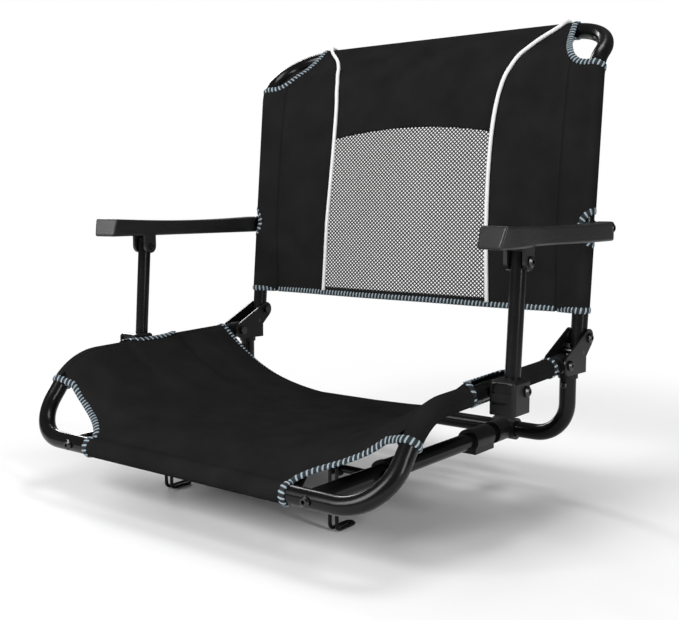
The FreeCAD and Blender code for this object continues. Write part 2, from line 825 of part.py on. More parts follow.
def outer_cut(start, end):
    """A slot with round ends in the outer half of a sleeve, between two points on its tube's axis."""
    along = (end - start).normalize()
    across = along.cross(AXIS_X) * sleeve_cut_half
    reach = AXIS_X * tube_diameter
    first = start + along * sleeve_cut_half
    last = end - along * sleeve_cut_half
    corners = [first + across, last + across, last - across, first - across, first + across]
    slot = Part.Face(Part.makePolygon(corners)).extrude(reach)
    ends = [cylinder(sleeve_cut_half, point, point + reach) for point in (first, last)]
    return slot.fuse(ends)


def nut_room(pivot):
    """Room in the cloth for the nut on the inner side of a tube."""
    tube_middle = Vector(side_x, pivot.y, pivot.z)
    inner_end = tube_middle - AXIS_X * (tube_radius + nut_height + nut_room_gap)
    return cylinder(nut_across / math.sqrt(3) + nut_room_gap, inner_end, tube_middle)


def seat_sleeves():
    front = Vector(front_sleeve_half, front_y, bar_height)
    knee_start = seat_knee_points()[0]
    lead = knee_start + (Vector(side_x, front_y, bar_height) - knee_corner()).normalize()
    rail_path = rounded_path([lead, knee_corner(), rail_point(seat_sleeve_end)], [knee_radius])
    front_path = Part.Wire(Part.LineSegment(flipped(front), front).toShape())
    front_sleeve = hollow_pipe(front_path, sleeve_outer, sleeve_inner)
    return [front_sleeve] + both_sides(hollow_pipe(rail_path, sleeve_outer, sleeve_inner))


def seat_sling():
    sections = []
    for x, y, edge_height, middle_height in seat_stations():
        sections.append(sheet_section(Vector(x, y, edge_height), Vector(0, y, middle_height), AXIS_Z))
    sheet = Part.makeLoft(sections, True, True).cut(pipe(seat_path(), sleeve_inner))
    sling = sheet.fuse(seat_sleeves())
    cut_start = rail_point(post_pivot.y - seat_cut_ahead)
    cut_end = rail_point(post_pivot.y + seat_cut_behind)
    for cutter in both_sides(outer_cut(cut_start, cut_end)) + both_sides(nut_room(post_pivot)):
        sling = sling.cut(cutter)
    return sling


def cloth_front(point, along):
    """The middle of the sleeve's wall in front of a point on the axis of the right upright."""
    return point + AXIS_X.cross(along).normalize() * (sleeve_inner + sleeve_wall / 2)


def back_stations():
    """Edge and middle points of the back cloth, from its bottom edge to the top bar."""
    bend = back_path().OrderedEdges[1]
    first, last = bend.FirstParameter, bend.LastParameter
    knee, top = back_corners()[1:]
    flare = top - knee
    edges = [cloth_front(back_axis(height), lean) for height in (arm_pivot.z, mesh_side_height)]
    for share in (0, 0.5, 1):
        place = first + (last - first) * share
        edges.append(cloth_front(bend.valueAt(place), bend.tangentAt(place)))
    edges.append(cloth_front((bend.valueAt(last) + top) * 0.5, flare))
    edges.append(cloth_front(top, flare))
    foot = back_axis(back_edge_height) + AXIS_Y * back_foot_setback
    foot.x = cloth_edge_x
    stations = [(foot, -back_foot_bow)]
    for edge in edges:
        rise = max(0, (edge.z - arm_pivot.z) / (back_sleeve_top - arm_pivot.z))
        share = max(0, (edge.z - back_sleeve_top) / (edges[-1].z - back_sleeve_top))
        sag = back_sag + (back_knee_sag - back_sag) * min(1, rise) ** sag_power
        edge.x = bite(1 - share, top_sleeve_half, side_x)
        stations.append((edge, sag * (1 - share ** back_fade)))
    return stations


def back_sheet():
    sections = []
    for edge, sag in back_stations():
        middle = Vector(0, edge.y + sag, edge.z)
        sections.append(sheet_section(edge, middle, AXIS_Y))
    return Part.makeLoft(sections, True, True).cut(pipe(back_path(), sleeve_inner))


def back_sleeve():
    """A sleeve round an upright and the start of its knee, cut level at its top."""
    knee, top = back_corners()[1:]
    path = rounded_path([back_axis(back_edge_height), knee, top], [back_knee_radius])
    reach = 2 * rail_spacing
    return hollow_pipe(path, sleeve_outer, sleeve_inner).common(block(0, reach, 0, reach, 0, back_sleeve_top))


def top_bar_path(half):
    end = Vector(back_corners()[2])
    end.x = half
    return Part.Wire(Part.LineSegment(flipped(end), end).toShape())


def top_sleeve():
    return hollow_pipe(top_bar_path(top_sleeve_half), sleeve_outer, sleeve_inner)


def seam_prism(offset):
    """Everything on the middle side of both seams, moved out by offset."""
    low = back_edge_height - tube_diameter
    high = back_corners()[2].z + tube_diameter
    foot = Vector(seam_foot_x + offset, 0, low)
    waist = Vector(seam_waist_x + offset, 0, mesh_side_height)
    top = Vector(seam_top_x + offset, 0, high)
    lower_mid = (foot + waist) * 0.5 - AXIS_X * seam_bow
    upper_mid = (waist + top) * 0.5 - AXIS_X * seam_upper_bow
    edges = [Part.Arc(foot, lower_mid, waist).toShape(),
             Part.Arc(waist, upper_mid, top).toShape(),
             Part.LineSegment(top, flipped(top)).toShape(),
             Part.Arc(flipped(top), flipped(upper_mid), flipped(waist)).toShape(),
             Part.Arc(flipped(waist), flipped(lower_mid), flipped(foot)).toShape(),
             Part.LineSegment(flipped(foot), foot).toShape()]
    return Part.Face(Part.Wire(edges)).extrude(AXIS_Y * (2 * arm_pivot.y))


def mesh_prism(offset):
    """The mesh panel's room seen from the front, with an arched top, grown by offset."""
    low = back_edge_height + mesh_hem - offset
    side = mesh_side_height + offset
    right_low = Vector(rail_spacing, 0, low)
    right_high = Vector(seam_waist_x, 0, side)
    crown = Vector(0, 0, side + mesh_crown)
    outer_high = Vector(rail_spacing, 0, side)
    corners = [flipped(right_high), flipped(outer_high), flipped(right_low), right_low, outer_high, right_high]
    edges = [Part.LineSegment(a, b).toShape() for a, b in zip(corners, corners[1:])]
    edges.append(Part.Arc(right_high, crown, flipped(right_high)).toShape())
    return Part.Face(Part.Wire(edges)).extrude(AXIS_Y * (2 * arm_pivot.y))


def right_half():
    reach = 2 * rail_spacing
    return block(0, reach, 0, reach, 0, reach)


def below_mesh():
    reach = 2 * rail_spacing
    return block(-reach, reach, 0, reach, 0, back_edge_height + mesh_hem - seam_gap)


def back_panels():
    """Right wing, right piping, mesh panel, upper panel and bottom hem of the backrest."""
    sheet = back_sheet()
    half_piping = piping_width / 2
    middle = sheet.common(seam_prism(-half_piping - seam_gap))
    mesh = middle.common(mesh_prism(0))
    hem = middle.common(below_mesh())
    upper = middle.cut(mesh_prism(seam_gap)).cut(below_mesh()).fuse(top_sleeve())
    clear_of_top = pipe(top_bar_path(top_sleeve_half + seam_gap), sleeve_outer + seam_gap)
    side_sheet = sheet.common(right_half()).cut(clear_of_top)
    piping = side_sheet.common(seam_prism(half_piping)).cut(seam_prism(-half_piping))
    wing = side_sheet.cut(seam_prism(half_piping + seam_gap)).fuse(back_sleeve())
    wing = wing.cut(outer_cut(back_axis(arm_pivot.z - back_cut_half), back_axis(arm_pivot.z + back_cut_half)))
    return wing.cut(nut_room(arm_pivot)), piping, mesh, upper, hem


os.makedirs("parts", exist_ok=True)


def write(name, shapes):
    shape = shapes[0] if len(shapes) == 1 else Part.makeCompound(shapes)
    shape.exportStep("parts/" + name + ".step")
    print(name, len(shape.Solids), shape.isValid(), round(shape.Volume))


def write_sides(name, shape):
    write("left_" + name, [mirrored(shape)])
    write("right_" + name, [shape])


write("seat_tube", [seat_tube()])
write("leg_tube", [leg_tube()])
write_sides("runner", runner())
write("runner_front_plugs", both_sides(runner_front_plug()))
write("runner_front_bolts", both_sides(runner_front_bolt()))
write_sides("rear_saddle", rear_saddle())
write_sides("rear_foot", runner_foot(rear_y - tube_radius - rear_foot_setback, rear_foot_length))
write_sides("front_foot", runner_foot(front_foot_y, front_foot_length))
write("hook_rod", [hook_rod()])
write("hook_rod_nuts", both_sides(hook_rod_nut()))
write_sides("hinge_bracket", hinge_bracket())
write_sides("corner_connector", corner_connector())
write("rail_bolts", both_sides(cross_bolt(rail_bolt_point)))
write("rail_nuts", both_sides(cross_nut(rail_bolt_point)))
write("back_pivot_bolts", both_sides(cross_bolt(back_pivot)))
write("back_pivot_nuts", both_sides(cross_nut(back_pivot)))
write("back_pivot_washers", [side for disc in pivot_washers() for side in both_sides(disc)])
write("stop_pins", both_sides(stop_pin()))
write("leg_screws", both_sides(leg_screw()))
write("post_pivot_bolts", both_sides(post_pivot_bolt()))
write("post_pivot_nuts", both_sides(post_pivot_nut()))
write("post_pivot_washers", both_sides(post_pivot_washer()))
write("seat_sling", [seat_sling()])
write("back_tube", [back_tube()])
write("back_tube_plugs", both_sides(back_tube_plug()))
back_wing, back_piping, back_mesh, back_upper, back_hem = back_panels()
write_sides("back_wing", back_wing)
write_sides("back_piping", back_piping)
write("back_mesh_panel", [back_mesh])
write("back_upper_panel", [back_upper])
write("back_hem", [back_hem])
write("armrest_bolts", both_sides(arm_bolt()))
write("armrest_nuts", both_sides(arm_nut()))
write("armrest_spacers", both_sides(arm_spacer()))
write_sides("armrest", armrest())
write_sides("knuckle_bolt", knuckle_bolt())
write_sides("knuckle_nut", knuckle_nut())
write_sides("post", post())
write_sides("post_cap", post_cap())
write_sides("post_block", post_block())
write_sides("bench_hook", bench_hook())
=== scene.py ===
import bisect
import json
import math

import bpy
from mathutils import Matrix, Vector, noise


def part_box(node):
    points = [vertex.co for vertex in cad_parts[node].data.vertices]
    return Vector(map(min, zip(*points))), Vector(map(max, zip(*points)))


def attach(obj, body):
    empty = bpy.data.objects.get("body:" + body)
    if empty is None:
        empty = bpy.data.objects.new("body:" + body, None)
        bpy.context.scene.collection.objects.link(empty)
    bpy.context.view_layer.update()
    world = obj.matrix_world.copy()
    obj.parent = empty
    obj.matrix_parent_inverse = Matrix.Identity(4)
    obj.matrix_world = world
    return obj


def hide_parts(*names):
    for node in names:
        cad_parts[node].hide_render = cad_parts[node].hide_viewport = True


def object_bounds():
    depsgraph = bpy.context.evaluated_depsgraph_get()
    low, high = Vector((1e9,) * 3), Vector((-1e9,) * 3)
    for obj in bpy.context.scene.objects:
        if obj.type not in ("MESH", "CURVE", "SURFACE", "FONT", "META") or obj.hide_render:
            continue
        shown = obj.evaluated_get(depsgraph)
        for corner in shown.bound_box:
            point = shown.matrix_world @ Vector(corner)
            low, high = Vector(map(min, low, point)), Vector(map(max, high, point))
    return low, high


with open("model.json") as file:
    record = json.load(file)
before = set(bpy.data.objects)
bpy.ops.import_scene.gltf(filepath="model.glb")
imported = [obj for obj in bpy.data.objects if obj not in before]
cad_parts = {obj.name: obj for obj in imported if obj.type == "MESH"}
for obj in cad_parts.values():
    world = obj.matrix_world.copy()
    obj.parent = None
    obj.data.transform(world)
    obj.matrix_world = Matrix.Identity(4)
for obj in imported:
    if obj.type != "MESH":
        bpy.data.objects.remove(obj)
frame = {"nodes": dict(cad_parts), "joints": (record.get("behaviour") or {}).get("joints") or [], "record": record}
cad_low, cad_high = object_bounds()
nodes = frame["nodes"]
joint_place = {joint["name"]: Vector(joint["pos_m"]) for joint in frame["joints"]}

# Metres. +Z is up, the front faces -Y, and right means +X.

hand = {1: "right", -1: "left"}

# Places read from the frame
runner_low, runner_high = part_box("right_runner")
tube_radius = (runner_high.x - runner_low.x) / 2
seat_low, seat_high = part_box("seat_tube")
back_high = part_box("back_tube")[1]
rail_bolt_low, rail_bolt_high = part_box("rail_bolts")
rail_rear = (rail_bolt_low + rail_bolt_high) / 2
side_x = seat_high.x - tube_radius
front_y = seat_low.y + tube_radius
bar_height = seat_low.z + tube_radius
rail_end_y = seat_high.y
back_pivot = joint_place["back_fold"]
arm_pivot = joint_place["right_armrest_fold"]
post_pivot = joint_place["right_post_fold"]
top_bar = Vector((0, back_high.y - tube_radius, back_high.z - tube_radius))

# Bends of the tubes
back_lean = math.radians(5)
back_knee_height = 0.449
back_knee_radius = 0.042
front_incline = math.radians(52)
seat_knee_radius = 0.074
rail_slope = 0.027
bend_steps = 14

# Cloth
cloth_gap = 0.0003
cloth_thickness = 0.001
wrap_radius = tube_radius + cloth_gap + cloth_thickness / 2
sleeve_width = 0.033
cell = 0.004
run_cells = 7
arc_cells = 16
sag_power = 3.0
cut_rows = 24
wing_columns = 22
wing_upper_rows = 40
upper_columns = 60
seat_columns = 64
arc_step = 0.2
crumple_size = 0.0035
crumple_scale = Vector((9, 6, 0))
crumple_layer = Vector((0, 0, 0.3))
seat_crumple_shift = 2
back_crumple_fade = (0.02, 0.06)
seat_crumple_fade = (0.03, 0.05)

# Back sling
back_edge_height = 0.157
back_sleeve_top = 0.4455
back_foot_setback = 0.004
back_foot_bow = 0.0065
back_sag = 0.003
back_knee_sag = 0.022
back_fade = 1.5
back_bite_power = 3.0
back_bite_slant = 0.008
bite_halvings = 20
bite_turn = 0.03
back_cut_half = 0.017
back_cut_turn = math.radians(80)
top_sleeve_half = side_x - 0.052
seam_foot_x = 0.131
seam_top_x = 0.187
seam_places = ((0.265, 0.126), (0.330, 0.1235), (0.390, 0.1245), (0.430, 0.1295), (0.461, 0.1405),
               (0.484, 0.158), (0.504, 0.183))
mesh_side_height = 0.371
mesh_crown = 0.011
hem_height = 0.0105
net_half_width = 0.00285
net_half_height = 0.0025
net_open = 0.62
net_tuck = 0.003
net_behind = 0.0012
net_thickness = 0.0007
piping_radius = 0.0025
piping_sides = 10
seam_step = 0.003
least_width = 0.002

# Seat sling
front_sleeve_half = side_x - 0.105
seat_rear_edge = rail_end_y - 0.0145
seat_bite_power = 1.5
seat_bite_slack = 0.008
seat_slack_power = 3
seat_flap_taper = 0.03
seat_crown = 0.042
seat_knee_share = 0.8
seat_rear_height = 0.038
seat_rear_droop = 0.006
seat_droop_depth = 0.015
seat_cut_ahead = 0.046
seat_cut_power = 3.5
seat_cut_behind = 0.036
seat_cut_upper = math.radians(-27)
seat_cut_lower = math.radians(158)
seat_cut_lift = 0.004
seat_sleeve_middle = math.radians(75)
first_lean = math.radians(40)
lean_rounds = 8
front_wrap_end = -math.pi - 0.6
front_bind_end = -math.pi - 0.4
bite_steps = 30
bite_inside = Vector((0, 0.05, 0.04))
ring_lead = 0.005
rear_inset = 0.002

# Whipped edge
edge_reach = 0.0037
edge_cover = 0.75
edge_half_thick = 0.0016
cut_half_thick = 0.0008
stitch_pitch = 0.0053
stitch_width = 0.0019
cut_stitch_pitch = 0.0072
stitch_proud = 0.00035
stitch_slant = 0.0006
edge_points = 12
ply_length = 0.00567


def along(start, end, share):
    return start + (end - start) * share


def clamp(value):
    return min(max(value, 0.0), 1.0)


def span_at(places, place):
    """Which span between rising places holds a place; past the ends, the nearest span."""
    return min(max(bisect.bisect_right(places, place) - 1, 0), len(places) - 2)


def spread(start, end, step):
    """Values from start to end, about step apart."""
    count = max(1, round(abs(end - start) / step))
    return [along(start, end, index / count) for index in range(count + 1)]


def smooth_through(points, place):
    """A smooth curve through (place, value) points, level past its ends."""
    index = span_at([point[0] for point in points], place)

    def slope(at):
        before = points[max(at - 1, 0)]
        after = points[min(at + 1, len(points) - 1)]
        return (after[1] - before[1]) / (after[0] - before[0])

    (start, low), (end, high) = points[index], points[index + 1]
    width = end - start
    share = clamp((place - start) / width)
    square, cube = share ** 2, share ** 3
    value = low * (2 * cube - 3 * square + 1) + high * (3 * square - 2 * cube)
    return value + width * (slope(index) * (cube - 2 * square + share) + slope(index + 1) * (cube - square))


def bend(before, corner, after, radius):
    """Points of the arc that rounds a corner."""
    back = (before - corner).normalized()
    ahead = (after - corner).normalized()
    half = back.angle(ahead) / 2
    centre = corner + (back + ahead).normalized() * (radius / math.sin(half))
    start = corner + back * (radius / math.tan(half)) - centre
    end = corner + ahead * (radius / math.tan(half)) - centre
    return [centre + start.slerp(end, step / bend_steps) * radius for step in range(bend_steps + 1)]


class Path:
    """A line through points, read by its length."""

    def __init__(self, points):
        self.points = points
        self.lengths = [0.0]
        for start, end in zip(points, points[1:]):
            self.lengths.append(self.lengths[-1] + (end - start).length)
        self.length = self.lengths[-1]

    def at(self, length):
        """Point and direction at a length, straight on past the ends."""
        index = span_at(self.lengths, length)
        direction = (self.points[index + 1] - self.points[index]).normalized()
        return self.points[index] + direction * (length - self.lengths[index]), direction


def wrap(centre, seam, side, turn):
    """Points from the seam along the cloth to the tube and round it, on one side, up to an angle."""
    inward = seam - centre
    distance = inward.length
    inward = inward / distance
    across = (side - inward * side.dot(inward)).normalized()
    leave = math.acos(wrap_radius / distance)

    def on_tube(angle):
        return centre + (inward * math.cos(angle) + across * math.sin(angle)) * wrap_radius

    run = [seam.lerp(on_tube(leave), step / run_cells) for step in range(run_cells)]
    return run + [on_tube(along(leave, turn, step / arc_cells)) for step in range(arc_cells + 1)]


def flat_sleeve_row(row, length, side, outer):
    """Flat cloth coordinates of a sleeve row; the second half of the sleeve lies beyond the first."""
    gone = Path(row).lengths
    loop = 2 * (sleeve_width + math.pi / 2 * wrap_radius)
    places = gone if outer else [loop - length_gone for length_gone in gone]
    return [(side * (sheet_half + place), length) for place in places]


# Meshes


class Sheet:
    """Grids of points with flat cloth coordinates, gathered in one mesh."""

    def __init__(self):
        self.points = []
        self.faces = []
        self.flat = []

    def grid(self, rows, flat_rows, flip=False):
        first = len(self.points)
        columns = len(rows[0])
        for row, flat_row in zip(rows, flat_rows):
            self.points.extend(row)
            self.flat.extend(flat_row)
        for row in range(len(rows) - 1):
            for column in range(columns - 1):
                corner = first + row * columns + column
                face = [corner, corner + 1, corner + columns + 1, corner + columns]
                self.faces.append(face[::-1] if flip else face)

    def drape(self, flat_rows, place, flip=False):
        """Adds a grid whose points follow from their flat coordinates."""
        self.grid([[place(*flat) for flat in row] for row in flat_rows], flat_rows, flip)

    def piece(self, name, material, body, slot):
        piece = mesh_piece(name, self.points, self.faces, [material], body)
        layer = piece.data.uv_layers.new(name="flat")
        for loop in piece.data.loops:
            layer.data[loop.index].uv = self.flat[loop.vertex_index]
        thicken(piece, cloth_thickness)
        return piece


def ring_faces(rings, sides, closed=False):
    """Faces from ring to ring, each given by its first point, and over both ends unless closed."""
    faces = []
    following = rings[1:] + (rings[:1] if closed else [])
    for first, second in zip(rings, following):
        for step in range(sides):
            after = (step + 1) % sides
            faces.append([first + step, first + after, second + after, second + step])
    if not closed:
        faces.append([rings[0] + step for step in reversed(range(sides))])
        faces.append([rings[-1] + step for step in range(sides)])
    return faces


def thicken(piece, thickness):
    solid = piece.modifiers.new("thickness", "SOLIDIFY")
    solid.thickness = thickness
    solid.offset = 0


def mesh_piece(name, points, faces, materials, body, face_materials=None):
    mesh = bpy.data.meshes.new(name)
    mesh.from_pydata([tuple(point) for point in points], [], faces)
    for material in materials:
        mesh.materials.append(material)
    if face_materials:
        mesh.polygons.foreach_set("material_index", face_materials)
    mesh.polygons.foreach_set("use_smooth", [True] * len(mesh.polygons))
    mesh.update()
    piece = bpy.data.objects.new(name, mesh)
    bpy.context.scene.collection.objects.link(piece)
    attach(piece, body)
    return piece


def flat_size(piece):
    """Width and length of the flat cut, from its cloth coordinates."""
    places = [loop.uv for loop in piece.data.uv_layers["flat"].data]
    widths = [place.x for place in places]
    lengths = [place.y for place in places]
    return max(widths) - min(widths), max(lengths) - min(lengths)


def declare_sheet(piece):
    width, length = flat_size(piece)


def crumple(x, length):
    """A small unevenness of stretched cloth."""
    return crumple_size * noise.noise(Vector((x, length, 0)) * crumple_scale + crumple_layer)


# Materials


def new_material(name):
    material = bpy.data.materials.new(name)
    material.use_nodes = True
    tree = material.node_tree
    return material, tree, tree.nodes["Principled BSDF"]


def feed(made, inputs):
    """Gives each input of a node its value, or links it to the output given for it."""
    for name, value in inputs.items():
        if isinstance(value, bpy.types.NodeSocket):
            made.id_data.links.new(value, made.inputs[name])
        else:
            made.inputs[name].default_value = value


def node(tree, kind, inputs=None, **values):
    made = tree.nodes.new(kind)
    for name, value in values.items():
        setattr(made, name, value)
    feed(made, inputs or {})
    return made


def grey(value):
    return (value, value, value, 1.0)


def math_node(tree, operation, *values):
    return node(tree, "ShaderNodeMath", dict(enumerate(values)), operation=operation).outputs[0]


def noise_node(tree, coordinates, scale, detail=3.0):
    inputs = {"Vector": coordinates, "Scale": scale, "Detail": detail}
    return node(tree, "ShaderNodeTexNoise", inputs).outputs["Fac"]


def between(tree, factor, low, high):
    inputs = {"Value": factor, "To Min": low, "To Max": high}
    return node(tree, "ShaderNodeMapRange", inputs).outputs["Result"]


def colours(tree, factor, low, high):
    inputs = {"Factor": factor, "A": low, "B": high}
    return node(tree, "ShaderNodeMix", inputs, data_type="RGBA").outputs["Result"]


def bump(tree, shader, height, distance):
    made = node(tree, "ShaderNodeBump", {"Strength": 1.0, "Distance": distance, "Height": height})
    feed(shader, {"Normal": made.outputs["Normal"]})


def object_coordinates(tree):
    return node(tree, "ShaderNodeTexCoord").outputs["Object"]


def patchy(name, shade, rough, patch_scale, shade_range, rough_range, grain_scale, grain_depth):
    """A finish whose shade and roughness vary in patches, over a fine grain."""
    material, tree, shader = new_material(name)
    place = object_coordinates(tree)
    patches = noise_node(tree, place, patch_scale)
    dark, pale = (grey(shade * share) for share in shade_range)
    smooth, dull = (rough + change for change in rough_range)
    feed(shader, {"Base Color": colours(tree, patches, dark, pale),
                  "Roughness": between(tree, patches, smooth, dull)})
    bump(tree, shader, noise_node(tree, place, grain_scale, 2.0), grain_depth)
    return material, shader


def powder_coat(name, shade, rough):
    """Satin black paint with a fine orange-peel."""
    material, shader = patchy(name, shade, rough, patch_scale=40, shade_range=(0.85, 1.2),
                              rough_range=(-0.05, 0.07), grain_scale=900, grain_depth=0.00002)
    feed(shader, {"Specular IOR Level": 0.21})
    return material


def moulded_plastic(name, shade, rough):
    """Black moulded plastic with a fine spark-eroded texture."""
    material, shader = patchy(name, shade, rough, patch_scale=60, shade_range=(0.85, 1.15),
                              rough_range=(-0.06, 0.06), grain_scale=2200, grain_depth=0.00008)
    feed(shader, {"Specular IOR Level": 0.25})
    return material


def grained_plastic(name, shade, rough):
    """Satin plastic with faint lines along Y, as on the armrests."""
    material, tree, shader = new_material(name)
    place = object_coordinates(tree)
    stretch = node(tree, "ShaderNodeMapping", {"Vector": place, "Scale": (1.0, 0.06, 1.0)})
    lines = noise_node(tree, stretch.outputs["Vector"], 700)
    feed(shader, {"Base Color": colours(tree, lines, grey(shade * 0.7), grey(shade * 1.4)),
                  "Roughness": between(tree, lines, rough - 0.14, rough + 0.14),
                  "Specular IOR Level": 0.38})
    bump(tree, shader, lines, 0.0002)
    return material


def dark_steel(name, shade, rough):
    """Dark plated steel with light scuffs."""
    material, shader = patchy(name, shade, rough, patch_scale=300, shade_range=(0.6, 1.5),
                              rough_range=(-0.08, 0.12), grain_scale=1800, grain_depth=0.00004)
    feed(shader, {"Metallic": 1.0})
    return material


def woven_cloth(name, shade, yarn):
    """Plain-woven polyester: yarns cross at yarn's pitch, in the cloth's own flat coordinates."""
    material, tree, shader = new_material(name)
    flat = node(tree, "ShaderNodeUVMap", uv_map="flat").outputs["UV"]
    split = node(tree, "ShaderNodeSeparateXYZ", {"Vector": flat})
    turns = math.pi / yarn
    across = math_node(tree, "SINE", math_node(tree, "MULTIPLY", split.outputs["X"], turns))
    length = math_node(tree, "SINE", math_node(tree, "MULTIPLY", split.outputs["Y"], turns))
    weave = math_node(tree, "MULTIPLY", across, length)
    patches = noise_node(tree, flat, 25)
    fibres = noise_node(tree, flat, 1200, 2.0)
    mixed = math_node(tree, "ADD", math_node(tree, "MULTIPLY", patches, 0.6),
                      math_node(tree, "MULTIPLY", fibres, 0.4))
    feed(shader, {"Base Color": colours(tree, mixed, grey(shade * 0.4), grey(shade * 1.6)),
                  "Roughness": 0.9, "Specular IOR Level": 0.0})
    bump(tree, shader, math_node(tree, "ADD", weave, fibres), 0.00009)
    return material


def thread(name, colour, rough):
    """Twisted thread or smooth piping: fine slanted ply lines."""
    material, tree, shader = new_material(name)
    place = object_coordinates(tree)
    ply_lines = {"Vector": place, "Scale": 1 / ply_length, "Distortion": 1.5}
    wave = node(tree, "ShaderNodeTexWave", ply_lines, wave_type="BANDS", bands_direction="DIAGONAL")
    dark = tuple(channel * 0.8 for channel in colour) + (1.0,)
    patches = noise_node(tree, place, 90)
    feed(shader, {"Base Color": colours(tree, patches, dark, tuple(colour) + (1.0,)), "Roughness": rough})
    bump(tree, shader, wave.outputs["Fac"], 0.00008)
    return material


frame_paint = powder_coat("frame_paint", 0.005, 0.22)
bracket_paint = powder_coat("bracket_paint", 0.005, 0.3)
moulded_black = moulded_plastic("moulded_black", 0.006, 0.38)
armrest_black = grained_plastic("armrest_black", 0.014, 0.34)
bolt_steel = dark_steel("bolt_steel", 0.06, 0.25)
cloth_black = woven_cloth("cloth_black", 0.014, 0.00055)
mesh_black = thread("mesh_black", (0.007, 0.007, 0.0075), 0.7)
piping_white = thread("piping_white", (0.82, 0.82, 0.82), 0.55)
edge_navy = thread("edge_navy", (0.003, 0.006, 0.010), 0.75)
edge_stitch = thread("edge_stitch", (0.31, 0.39, 0.44), 0.7)

slot_materials = {"frame_paint": frame_paint, "bracket_paint": bracket_paint, "moulded_black": moulded_black,
                  "armrest_black": armrest_black, "bolt_steel": bolt_steel}


def finish_nodes():
    """Gives each rigid piece the finish that the record names for it."""
    for part in frame["record"]["subparts"]:
        finish = slot_materials.get(part["material_slot"])
        if finish:
            mesh = nodes[part["node"]].data
            mesh.materials.clear()
            mesh.materials.append(finish)


finish_nodes()

# Whipped edges


class Edge:
    """Striped binding along cloth edges: a flat core with thread bars wound round it."""

    def __init__(self):
        self.points = []
        self.faces = []
        self.finish = []
        self.half_thick = edge_half_thick

    def ring(self, point, direction, inward, normal, grow, slant):
        """Points of one ring round the core; slant leans it along the edge."""
        start = len(self.points)
        for step in range(edge_points):
            angle = 2 * math.pi * step / edge_points
            reach = math.cos(angle)
            place = point + inward * (edge_reach * edge_cover + reach * (edge_reach + grow))
            place = place + normal * (math.sin(angle) * (self.half_thick + grow))
            self.points.append(place + direction * (slant * reach))
        return start

    def join(self, rings, finish, closed=False):
        faces = ring_faces(rings, edge_points, closed)
        self.faces.extend(faces)
        self.finish.extend([finish] * len(faces))

    def run(self, stations, closed=False, pitch=stitch_pitch):
        """Binds an edge given by (point, inward, normal) stations."""
        line = Path([station[0] for station in stations])

        def station_at(length):
            index = span_at(line.lengths, length)
            width = line.lengths[index + 1] - line.lengths[index]
            share = clamp((length - line.lengths[index]) / width) if width else 0.0
            point, direction = line.at(length)
            inward = along(stations[index][1], stations[index + 1][1], share).normalized()
            normal = along(stations[index][2], stations[index + 1][2], share).normalized()
            return point, direction, inward, normal

        core_lengths = spread(0, line.length, stitch_pitch / 2)
        if closed:
            core_lengths.pop()
        self.join([self.ring(*station_at(length), 0.0, 0.0) for length in core_lengths], 0, closed)
        count = max(1, int(line.length / pitch))
        pitch = line.length / count
        for index in range(count):
            middle = (index + 0.5) * pitch
            rings = []
            for offset, grow in ((-1, 0.0), (-0.5, stitch_proud), (0.5, stitch_proud), (1, 0.0)):
                place = station_at(middle + offset * stitch_width / 2)
                rings.append(self.ring(*place, grow, stitch_slant))
            self.join(rings, 1)

    def piece(self, name, body):
        return mesh_piece(name, self.points, self.faces, [edge_navy, edge_stitch], body,
                          self.finish)


def stations_along(points, normals, insides):
    """Edge stations whose inward direction lies in the cloth and points at the insides."""
    stations = []
    for index, (point, normal, inside) in enumerate(zip(points, normals, insides)):
        before = points[max(index - 1, 0)]
        after = points[min(index + 1, len(points) - 1)]
        direction = (after - before).normalized()
        inward = direction.cross(normal).normalized()
        if inward.dot(inside - point) < 0:
            inward = -inward
        stations.append((point, inward, normal))
    return stations


# Back sling

up_lean = Vector((0, math.sin(back_lean), math.cos(back_lean)))


def upright(height):
    """The upright's axis, without its side offset."""
    return Vector((0, back_pivot.y, back_pivot.z)) + up_lean * ((height - back_pivot.z) / up_lean.z)


back_knee = upright(back_knee_height)
knee_bend = bend(upright(back_edge_height), back_knee, top_bar, back_knee_radius)
back_axis = Path([upright(back_edge_height)] + knee_bend + [top_bar])
flare = (top_bar - back_knee).normalized()

axis_length = back_axis.length
over_length = axis_length + math.pi * wrap_radius
back_length = over_length + sleeve_width
sleeve_length = (back_sleeve_top - back_edge_height) / up_lean.z
arm_length = (arm_pivot.z - back_edge_height) / up_lean.z
mesh_length = (mesh_side_height - back_edge_height) / up_lean.z
sheet_half = side_x - sleeve_width
slope_step = 0.004
fine_step = 0.001


def front_of(direction):
    """Square to a direction up the back, out of its front."""
    return Vector((0, -direction.z, direction.y)).normalized()


def back_front(length):
    """The front of the uprights at a length up the cloth, then round the top bar to its rear."""
    if length <= axis_length:
        run = back_axis.at(length + slope_step)[0] - back_axis.at(length - slope_step)[0]
        reach = along(-back_foot_setback, wrap_radius, clamp(length / arm_length))
        return back_axis.at(length)[0] + front_of(run) * reach
    angle = min((length - axis_length) / wrap_radius, math.pi)
    return top_bar + (front_of(flare) * math.cos(angle) + flare * math.sin(angle)) * wrap_radius


def back_depth(length):
    """How far the middle of the cloth lies behind its sides."""
    rise = clamp((length - arm_length) / (sleeve_length - arm_length))
    share = clamp((length - sleeve_length) / (axis_length - sleeve_length))
    deep = along(back_sag, back_knee_sag, rise ** sag_power)
    return along(-back_foot_bow, deep, clamp(length / arm_length)) * (1 - share ** back_fade)


